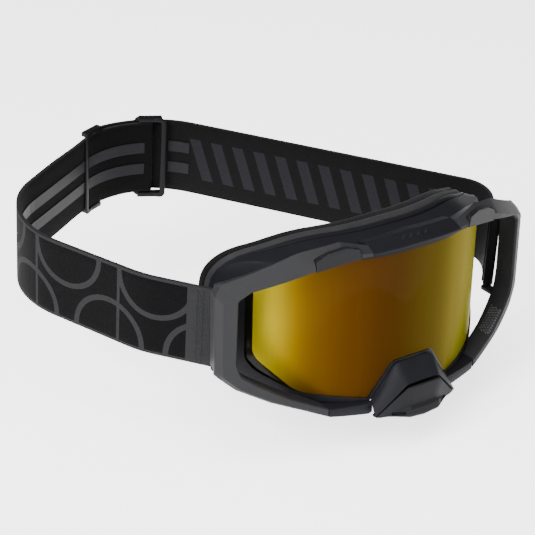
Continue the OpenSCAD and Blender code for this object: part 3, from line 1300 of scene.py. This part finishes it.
@dataclass
class FaceFoam:
    """Face foam: a cushion with a rolled front ridge, and its fleece facing."""

    depth: float = 15.8
    frames: int = 12
    body: str = "goggles"

    def surface(self, behind: float) -> Callable[[float], float]:
        """Depth at x of the surface that lies behind the flange by so much."""
        flange = Drum(-15.8 + behind, 112 + 3.9 * behind / self.depth)
        return flange.y

    def ring(self, name: str, stations: list, finish_: Finish, slot: str, nodes: list) -> bpy.types.Object:
        """Lofts one closed ring of foam.

        Args:
            name: The piece's name.
            stations: Outlines with their distance behind the flange.
            finish_: The piece's finish.
            slot: Not used.
            nodes: CAD nodes that it stands for.

        Returns:
            The piece.
        """
        rows = [
            [(x, self.surface(behind)(x), z) for x, z in line.loop(6, 8)]
            for line, behind in stations
        ]
        bm = bmesh.new()
        loft(bm, rows, ring=True)
        return finish(name, bm, [finish_], self.body, nodes, sharp=80)

    def build(self) -> None:
        cushion = self.ring(
            "foam_cushion",
            [
                (FLANGE.inset(3.0, 2.8), 0.1),
                (FLANGE.inset(1.4, 1.4), 0.5),
                (FLANGE.inset(0.3, 0.3), 1.7),
                (FLANGE.inset(-0.2, -0.2), 3.4),
                (FLANGE.inset(0.1, 0.1), 5.2),
                (FLANGE.inset(1.2, 1.2), 6.8),
                (FLANGE.inset(3.2, 3.0), 7.8),
                (FLANGE.inset(5.5, 5.0), 10.4),
                (PORT.inset(-1.0, -1.0), 10.4),
                (PORT.inset(-0.4, -0.4), 5.0),
                (PORT.inset(-0.8, -0.8), 0.1),
            ],
            FOAM,
            "foam",
            ["foam_base", "foam_middle"],
        )
        facing = self.ring(
            "face_fleece",
            [
                (FLANGE.inset(3.0, 2.8), 7.0),
                (FLANGE.inset(0.6, 0.6), 7.8),
                (FLANGE.inset(-0.6, -0.8), 9.6),
                (FLANGE.inset(-0.4, -0.6), 11.8),
                (FLANGE.inset(1.6, 1.2), 14.0),
                (FLANGE.inset(5.0, 4.0), 15.3),
                (FLANGE.inset(9.0, 7.4), 15.7),
                (PORT.inset(-3.4, -3.4), 15.5),
                (PORT.inset(-1.6, -1.6), 14.6),
                (PORT.inset(-0.6, -0.6), 12.4),
                (PORT.inset(-0.6, -0.6), 10.6),
                (PORT.inset(-3.0, -3.0), 9.4),
            ],
            FLEECE,
            "fleece",
            ["foam_face"],
        )
        for piece, pressure, cap in ((cushion, 3.0, 0.7), (facing, 4.0, 1.0)):
            self.puff(piece, pressure, cap * MM)
            smooth = piece.modifiers.new("smooth", "SUBSURF")
            smooth.levels = smooth.render_levels = 1
            apply_modifiers(piece)
            piece.data.shade_smooth()

    def puff(self, piece: bpy.types.Object, pressure: float, cap: float) -> None:
        """Lets a piece settle as cloth under pressure and works the small shift in.

        Args:
            piece: The foam piece.
            pressure: Pressure inside it.
            cap: The furthest that a point may move, in metres.
        """
        rest = [v.co.copy() for v in piece.data.vertices]
        cloth = piece.modifiers.new("cloth", "CLOTH")
        settings = cloth.settings
        settings.quality = 4
        settings.mass = 0.3
        settings.use_pressure = True
        settings.uniform_pressure_force = pressure
        settings.tension_stiffness = settings.compression_stiffness = 5
        settings.bending_stiffness = 0.1
        settings.effector_weights.gravity = 0
        cloth.point_cache.frame_start, cloth.point_cache.frame_end = 1, self.frames
        scene = bpy.context.scene
        for step in range(1, self.frames + 1):
            scene.frame_set(step)
        graph = bpy.context.evaluated_depsgraph_get()
        moved = [v.co.copy() for v in piece.evaluated_get(graph).data.vertices]
        piece.modifiers.clear()
        scene.frame_set(1)
        free: list[float] = []
        for vert, start, now in zip(piece.data.vertices, rest, moved):
            shift = now - start
            free.append(shift.length)
            if shift.length > cap:
                shift = shift.normalized() * cap
            vert.co = start + shift
        log.info(
            "%s: cloth moved it by %.2f mm at the mean and %.2f mm at most, capped at %.2f mm",
            piece.name,
            sum(free) / len(free) / MM,
            max(free) / MM,
            cap / MM,
        )


# ------------------------------------------------------------------ strap


@dataclass
class Strap:
    """Two halves of elastic in one loose loop, with their stitching.

    The route is the plan of the loop: corners with a radius each, from the
    bar on the wearer's right round the back to the bar on the left.
    """

    bar: Point = (87.5, 1.5)
    route: tuple[Point, ...] = (
        (-87.5, 1.5),
        (-112, 36),
        (-148, 129),
        (-23, 204),
        (104, 25),
        (87.5, 1.5),
    )
    bends: tuple[float, ...] = (0, 60, 54, 46, 20, 0)
    width: float = 44.0
    thickness: float = 1.8
    gap: float = 3.8
    rise: float = 3.2
    drop: float = -1.5
    right_slider: float = 21.8
    left_slider: float = -26.2
    body: str = "goggles"

    @property
    def centre(self) -> Vector:
        """Centre of the bend that the sliders sit on, in plan."""
        a, b, c = (Vector(p) for p in self.route[2:5])
        u, w = (a - b).normalized(), (c - b).normalized()
        half = math.acos(u.dot(w)) / 2
        return b + (u + w).normalized() * self.bends[3] / math.sin(half)

    def tilt(self) -> Matrix:
        """From the loop's own level plane to its place behind the frame."""
        y = self.bar[1]
        return (
            Matrix.Translation((0, y, self.drop))
            @ Matrix.Rotation(math.radians(self.rise), 4, "X")
            @ Matrix.Translation((0, -y, 0))
        )

    def leg(self, i: int) -> list[Point]:
        """The rounded corner i of the route."""
        if i in (0, len(self.route) - 1):
            return [self.route[i]]
        return arc(self.route[i - 1], self.route[i], self.route[i + 1], self.bends[i], 18)

    def on_bend(self, first: float, last: float, radius: float, steps: int = 24) -> list[Point]:
        """Points on the sliders' bend between two angles from its back."""
        out = []
        for i in range(steps + 1):
            t = math.radians(90 + first + (last - first) * i / steps)
            out.append(tuple(self.centre + radius * Vector((math.cos(t), math.sin(t)))))
        return out

    def wrap(self, angle: float, start: float, sweep: float, out_from: float) -> list[Point]:
        """The strap's end turned round a slider's middle bar.

        Args:
            angle: The slider's angle from the bend's back.
            start: Angle round the bar at which the turn starts, in degrees.
            sweep: How far it turns, in degrees.
            out_from: Radius of the bend at the bar's middle.

        Returns:
            Points of the turn.
        """
        t = math.radians(90 + angle)
        middle = self.centre + out_from * Vector((math.cos(t), math.sin(t)))
        radius = self.gap / 2
        out = []
        for i in range(1, 9):
            a = t + math.radians(start + sweep * i / 8)
            out.append(tuple(middle + radius * Vector((math.cos(a), math.sin(a)))))
        return out

    def spaced(self, points: list[Point], step: float) -> list[Point]:
        """Adds points to long runs so that none is longer than step."""
        out = [points[0]]
        for a, b in zip(points, points[1:]):
            parts = max(1, math.ceil((Vector(b) - Vector(a)).length / step))
            out += [mix(a, b, k / parts) for k in range(1, parts + 1)]
        return out

    def beside(self, points: list[Point], first: float, last: float, held: int) -> list[Point]:
        """Moves a row sideways: first over its held points, easing to last."""
        out = []
        for i, p in enumerate(points):
            a, b = points[max(i - 1, 0)], points[min(i + 1, len(points) - 1)]
            way = (Vector(b) - Vector(a)).normalized()
            share = max(0, i - held) / (len(points) - 1 - held)
            share = share * share * (3 - 2 * share)
            move = first + (last - first) * share
            out.append((p[0] - way.y * move, p[1] + way.x * move))
        return out

    def hem(self, side: Side) -> list[Point]:
        """The turn of elastic round the bar in an outrigger."""
        x, y = side.value * self.bar[0], self.bar[1]
        radius = 1.6 + 0.1 + self.thickness / 2
        out = []
        for i in range(13):
            a = math.radians(100 - 250 * i / 12) if side is Side.LEFT else math.radians(80 + 250 * i / 12)
            out.append((x + radius * math.cos(a), y + radius * math.sin(a)))
        return out

    def band(
        self,
        name: str,
        points: list[Point],
        finishes: list[Finish],
        replaces: list[str],
        from_start: bool,
    ) -> bpy.types.Object:
        """Weaves one half along its plan and gives it its thickness.

        Args:
            name: The piece's name.
            points: Its plan, whose left side is the loop's outside.
            finishes: Finish of the outer face and of the inner one.
            replaces: CAD nodes that it stands for.
            from_start: Whether the pattern is measured from the plan's start.

        Returns:
            The piece.
        """
        rows = 8
        bm = bmesh.new()
        cloth = bm.loops.layers.uv.new("cloth")
        row = chain(bm, [(x, y, 0.0) for x, y in points], closed=False)
        bmesh.ops.translate(bm, verts=bm.verts, vec=(0, 0, -self.width / 2))
        for _ in range(rows):
            grown = bmesh.ops.extrude_edge_only(bm, edges=row)["geom"]
            row = [e for e in grown if isinstance(e, bmesh.types.BMEdge)]
            moved = [v for v in grown if isinstance(v, bmesh.types.BMVert)]
            bmesh.ops.translate(bm, verts=moved, vec=(0, 0, self.width / rows))
        run = [0.0]
        for a, b in zip(points, points[1:]):
            run.append(run[-1] + (Vector(b) - Vector(a)).length)
        run = run if from_start else [run[-1] - r for r in run]
        place = {(round(x, 3), round(y, 3)): r for (x, y), r in zip(points, run)}
        for face in bm.faces:
            for loop in face.loops:
                x, y, z = loop.vert.co
                loop[cloth].uv = (place[(round(x, 3), round(y, 3))] * MM, z * MM)
        outward = sum(
            f.normal.dot(Vector((*(Vector(f.calc_center_median()[:2]) - Vector((-20, 100))), 0)))
            for f in bm.faces
        )
        if outward < 0:
            bmesh.ops.reverse_faces(bm, faces=bm.faces)
        # The edges of a worn elastic wave a little: 0.35 mm over 60 mm.
        for v in bm.verts:
            edge = (v.co.z / (self.width / 2)) ** 3
            wave = math.sin(v.co.x * 0.11 + v.co.y * 0.07)
            v.co.z += 0.25 * edge * wave
        bmesh.ops.transform(bm, matrix=self.tilt(), verts=bm.verts)
        piece = finish(name, bm, finishes, self.body, replaces, 60, closed=False)
        thick = piece.modifiers.new("thickness", "SOLIDIFY")
        thick.thickness, thick.offset = self.thickness * MM, 0.0
        thick.use_even_offset = True
        thick.material_offset = 1
        apply_modifiers(piece)
        soft = piece.modifiers.new("soft_edge", "BEVEL")
        soft.width, soft.segments, soft.limit_method = 0.4 * MM, 2, "ANGLE"
        soft.angle_limit = math.radians(60)
        apply_modifiers(piece)
        piece.data.shade_smooth()
        piece.data.set_sharp_from_angle(angle=math.radians(60))
        return piece

    def build(self) -> None:
        """Makes both halves, the hems' stitching and the sliders' folds."""
        r = self.bends[3]
        mid = r + self.gap / 2
        inner = self.on_bend(31, self.left_slider + 0.5, r)
        right = self.spaced(self.hem(Side.RIGHT) + self.leg(1) + self.leg(2) + inner, 5.0)
        right += self.wrap(self.left_slider, 180, -105, mid)
        self.band(
            "elastic_right", right, [WEBBING_OUTER, WEBBING_INNER], ["strap_right"], True
        )
        outer = self.on_bend(self.right_slider, -54.6, r)
        rest = outer + self.leg(4)
        left = self.beside(rest + [self.bar], self.gap, 0.0, len(outer) - 1)[:-1]
        left += self.hem(Side.LEFT)[::-1]
        left = list(reversed(self.wrap(self.right_slider, 0, 105, mid))) + self.spaced(left, 5.0)
        self.band("elastic_left", left, [WEBBING_OUTER, WEBBING_GRIP], ["strap_left"], False)
        self.stitching()

    def stitching(self) -> bpy.types.Object:
        """Two rows of thread across each hem beside the outriggers.

        Returns:
            The piece.
        """
        bm = bmesh.new()
        for side, (a, b) in (
            (Side.RIGHT, (self.bar, self.route[1])),
            (Side.LEFT, (self.bar, self.route[4])),
        ):
            a = Vector((side.value * self.bar[0], self.bar[1]))
            way = (Vector(b) - a).normalized()
            out = Vector((-way.y, way.x)) if side is Side.RIGHT else Vector((way.y, -way.x))
            turn = math.atan2(way.y, way.x)
            for along in (9.0, 12.0):
                at = a + way * along + out * (self.thickness / 2 + 0.05)
                for i in range(14):
                    made = bmesh.ops.create_icosphere(bm, subdivisions=1, radius=0.5)["verts"]
                    bmesh.ops.scale(bm, vec=(0.45, 0.5, 2.3), verts=made)
                    z = (i - 6.5) * 3.0
                    place = Matrix.Translation((at.x, at.y, z)) @ Matrix.Rotation(turn, 4, "Z")
                    bmesh.ops.transform(bm, matrix=self.tilt() @ place, verts=made)
        return finish("hem_stitching", bm, [THREAD], self.body)


@dataclass
class Slider:
    """Moulded three-bar slider on the strap's back bend."""

    strap: Strap
    side: Side
    width: float = 18.6
    height: float = 50.4
    bar: float = 3.3

    def build(self) -> bpy.types.Object:
        """Rounded frame whose outer bar passes inside the strap, with its middle bar.

        Returns:
            The piece.
        """
        bm = bmesh.new()
        angle = self.strap.left_slider if self.side is Side.LEFT else self.strap.right_slider
        # The partner's side of the frame lies between the two layers.
        away = 1 if self.side is Side.LEFT else -1
        w, h = self.width / 2, self.height / 2
        rim = rounded([(-w, -h), (w, -h), (w, h), (-w, h)], [3.0] * 4, 5, 4)
        hole_w, hole_h = w - self.bar, h - 2.7
        window = rounded(
            [(-hole_w, -hole_h), (hole_w, -hole_h), (hole_w, hole_h), (-hole_w, hole_h)],
            [1.2] * 4,
            5,
            4,
        )

        def depth(a: float) -> float:
            """Height of the frame's middle above the bend's centre at a."""
            share = (a * away + w) / (2 * w)
            return 47.4 + (43.6 - 47.4) * share * share * (3 - 2 * share)

        def row(points: list[Point], lift: float, shrink: float) -> list:
            """One row of the frame's section."""
            return [
                (a * (1 - shrink / w), depth(a) + lift, z * (1 - shrink / h)) for a, z in points
            ]

        rows = [
            row(rim, -0.75, 0.4),
            row(rim, 0.0, 0.0),
            row(rim, 0.75, 0.4),
            row(window, 0.75, -0.4),
            row(window, 0.0, 0.0),
            row(window, -0.75, -0.4),
        ]
        loft(bm, rows, ring=True)
        made = bmesh.ops.create_cube(bm, size=1.0)["verts"]
        bmesh.ops.scale(bm, vec=(3.2, 1.3, self.height - 3), verts=made)
        bmesh.ops.translate(bm, verts=made, vec=(0, 47.85, 0))
        for s in (-1, 1):
            end = bmesh.ops.create_cube(bm, size=1.0)["verts"]
            bmesh.ops.scale(bm, vec=(self.width - 5.0, 4.2, 2.7), verts=end)
            bmesh.ops.translate(bm, verts=end, vec=(0, 46.4, s * (h - 1.35)))
        round_edges(bm, 0.45, 40)
        centre = self.strap.centre
        place = (
            self.strap.tilt()
            @ Matrix.Translation((centre.x, centre.y, 0))
            @ Matrix.Rotation(math.radians(angle), 4, "Z")
        )
        bmesh.ops.transform(bm, matrix=place, verts=bm.verts)
        node_name = "slider_" + self.side.label
        return finish(node_name + "_frame", bm, [ACETAL], node_name, [node_name])


# ------------------------------------------------------------- nose guard


class NoseGuard:
    """Clip-on guard: sloping side facets, a sunk middle panel and vent slots."""

    def build(self) -> bpy.types.Object:
        """Shell from its top edge down to its lip and under it, with the slots cut.

        Returns:
            The piece.
        """
        outer = [
            [(24.9, -46.4, -47.4), (9.8, -52.6, -31.6), (0, -53.0, -31.3)],
            [(25.2, -46.9, -47.6), (9.9, -53.4, -32.0), (0, -53.9, -31.8)],
            [(23.9, -46.9, -47.8), (8.6, -53.6, -37.5), (0, -53.9, -37.6)],
            [(22.9, -47.3, -48.0), (7.8, -53.5, -42.0), (0, -53.7, -42.4)],
            [(22.2, -47.3, -48.1), (8.9, -54.8, -43.6), (0, -55.1, -44.0)],
            [(21.2, -46.4, -48.5), (9.2, -55.2, -47.0), (0, -55.7, -47.6)],
            [(20.0, -45.0, -48.9), (8.8, -54.2, -48.6), (0, -54.6, -49.2)],
            [(18.6, -43.0, -49.4), (8.2, -47.0, -49.8), (0, -47.0, -50.0)],
        ]
        inner = [
            [(17.4, -42.8, -47.8), (7.4, -46.8, -48.2), (0, -46.8, -48.4)],
            [(18.4, -44.0, -47.4), (7.8, -52.4, -47.0), (0, -52.8, -47.4)],
            [(20.6, -45.2, -46.6), (7.0, -51.8, -42.4), (0, -52.0, -42.8)],
            [(22.6, -45.2, -46.0), (7.6, -51.8, -37.5), (0, -52.2, -37.6)],
            [(24.0, -45.6, -46.9), (9.2, -51.6, -32.6), (0, -52.0, -32.4)],
        ]
        rows = []
        for tip, corner, middle in outer + inner:
            half = [mix(tip, corner, k / 4) for k in range(4)]
            half += [mix(corner, middle, k / 3) for k in range(3)]
            rows.append(half + [middle] + [(-x, y, z) for x, y, z in reversed(half)])
        bm = bmesh.new()
        loft(bm, rows, closed=False, ring=True)
        bmesh.ops.holes_fill(bm, edges=bm.edges, sides=0)
        bmesh.ops.recalc_face_normals(bm, faces=bm.faces)
        round_edges(bm, 0.3, 30)
        piece = finish(
            "nose_guard_shell",
            bm,
            [GRAINED_NYLON],
            "nose_guard",
            ["nose_guard"],
            sharp=22,
        )
        for side in Side:
            tool = self.slot_cutter(side)
            cut = piece.modifiers.new("cut", "BOOLEAN")
            cut.operation, cut.object, cut.solver = "DIFFERENCE", tool, "EXACT"
            apply_modifiers(piece)
            bpy.data.objects.remove(tool)
        piece.data.set_sharp_from_angle(angle=math.radians(22))
        flatten(piece)
        return piece

    def slot_cutter(self, side: Side) -> bpy.types.Object:
        """A rounded bar that cuts one vent slot through a side facet.

        Args:
            side: The wearer's side.

        Returns:
            A plain object, to be removed after the cut.
        """
        bm = bmesh.new()
        bmesh.ops.create_cube(bm, size=1.0)
        bmesh.ops.scale(bm, vec=(7.4, 7.0, 1.9), verts=bm.verts)
        round_edges(bm, 0.8, 30, 3)
        place = (
            Matrix.Scale(side.value, 4, (1, 0, 0))
            @ Matrix.Translation((15.2, -53.4, -46.0))
            @ Matrix.Rotation(math.radians(32), 4, "Z")
            @ Matrix.Rotation(math.radians(4), 4, "Y")
        )
        bmesh.ops.transform(bm, matrix=place, verts=bm.verts)
        bmesh.ops.recalc_face_normals(bm, faces=bm.faces)
        bmesh.ops.scale(bm, vec=(MM, MM, MM), verts=bm.verts)
        mesh = bpy.data.meshes.new("cutter")
        bm.to_mesh(mesh)
        bm.free()
        tool = bpy.data.objects.new("cutter", mesh)
        bpy.context.scene.collection.objects.link(tool)
        return tool


# ------------------------------------------------------- carried-over nodes


@dataclass
class CadNodes:
    """CAD nodes whose shape is right, dressed in their real finishes."""

    finishes: dict[str, Finish] = field(
        default_factory=lambda: {
            "latch_pin_left": BLACK_STEEL,
            "latch_pin_right": BLACK_STEEL,
            "strap_bar_left": STEEL,
            "strap_bar_right": STEEL,
            "vent_filter_top": FILTER,
            "vent_filter_left": FILTER,
            "vent_filter_right": FILTER,
            "grip_stripes_left": SILICONE,
            "grip_stripes_right": SILICONE,
        }
    )

    def dress(self) -> None:
        """Gives each node its material."""
        for name, one in self.finishes.items():
            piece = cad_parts[name]
            piece.data.materials.clear()
            piece.data.materials.append(one.material())
            log.info("%s: dressed as %s", name, one.name)


# ------------------------------------------------------------------ studio


@dataclass
class Studio:
    """Pale floor, soft lights and the camera."""

    floor_z: float = -0.071
    eye: tuple[float, float, float] = (-0.5446, -0.6820, 0.44305)
    right: tuple[float, float, float] = (0.8213, -0.5702, 0.0211)
    up: tuple[float, float, float] = (0.2388, 0.3771, 0.8949)
    lens_mm: float = 128.05

    def build(self) -> None:
        """Makes the floor, the lights and the camera."""
        self.floor()
        self.lights()
        self.camera()

    def floor(self) -> None:
        """A wide plain floor below the goggles."""
        bm = bmesh.new()
        bmesh.ops.create_grid(bm, x_segments=2, y_segments=2, size=6)
        bmesh.ops.translate(bm, verts=bm.verts, vec=(0, 0, self.floor_z))
        mesh = bpy.data.meshes.new("floor")
        bm.to_mesh(mesh)
        bm.free()
        paper = bpy.data.materials.new("white_paper_sweep")
        paper.use_nodes = True
        shader = paper.node_tree.nodes["Principled BSDF"]
        shader.inputs["Base Color"].default_value = linear("#fdfdfd")
        shader.inputs["Roughness"].default_value = 0.9
        shader.inputs["Emission Color"].default_value = linear("#ffffff")
        shader.inputs["Emission Strength"].default_value = 2.4
        mesh.materials.append(paper)
        ground = bpy.data.objects.new("floor", mesh)
        bpy.context.scene.collection.objects.link(ground)

    def lights(self) -> None:
        """Three soft boxes and an even white surround."""
        world = bpy.data.worlds.new("surround")
        world.use_nodes = True
        glow = world.node_tree.nodes["Background"]
        glow.inputs["Color"].default_value = linear("#f2f4f6")
        glow.inputs["Strength"].default_value = 0.25
        bpy.context.scene.world = world
        for name, place, size, power in (
            ("key", (-1.5, -0.4, 1.1), 0.8, 62.0),
            ("top", (-0.3, -0.55, 1.7), 1.1, 34.0),
            ("side", (1.5, -0.6, 0.7), 0.8, 2.0),
        ):
            data = bpy.data.lights.new(name, "AREA")
            data.energy, data.size = power, size
            lamp = bpy.data.objects.new(name, data)
            lamp.location = place
            lamp.rotation_euler = (
                (Vector((0, 0.03, 0)) - Vector(place)).to_track_quat("-Z", "Y").to_euler()
            )
            bpy.context.scene.collection.objects.link(lamp)

    def camera(self) -> None:
        """A long lens from the front right of the wearer, looking down."""
        data = bpy.data.cameras.new("camera")
        data.lens, data.sensor_width = self.lens_mm, 36.0
        data.clip_start, data.clip_end = 0.05, 20.0
        shooter = bpy.data.objects.new("camera", data)
        right, up = Vector(self.right), Vector(self.up)
        turn = Matrix((right, up, right.cross(up))).transposed()
        shooter.matrix_world = Matrix.Translation(self.eye) @ turn.to_4x4()
        bpy.context.scene.collection.objects.link(shooter)
        bpy.context.scene.camera = shooter


def main() -> None:
    """Builds the goggles and the studio."""
    logging.basicConfig(level=logging.INFO, format="%(name)s: %(message)s")
    Studio().build()
    FrameShell().build()
    Outriggers().build()
    Lens().build()
    FaceFoam().build()
    strap = Strap()
    strap.build()
    for side in Side:
        Slider(strap, side).build()
        softened_copy(
            "latch_" + side.label, BARE_NYLON, "latch_" + side.label, 0.3
        )
    NoseGuard().build()
    CadNodes().dress()


if __name__ == "__main__":
    main()
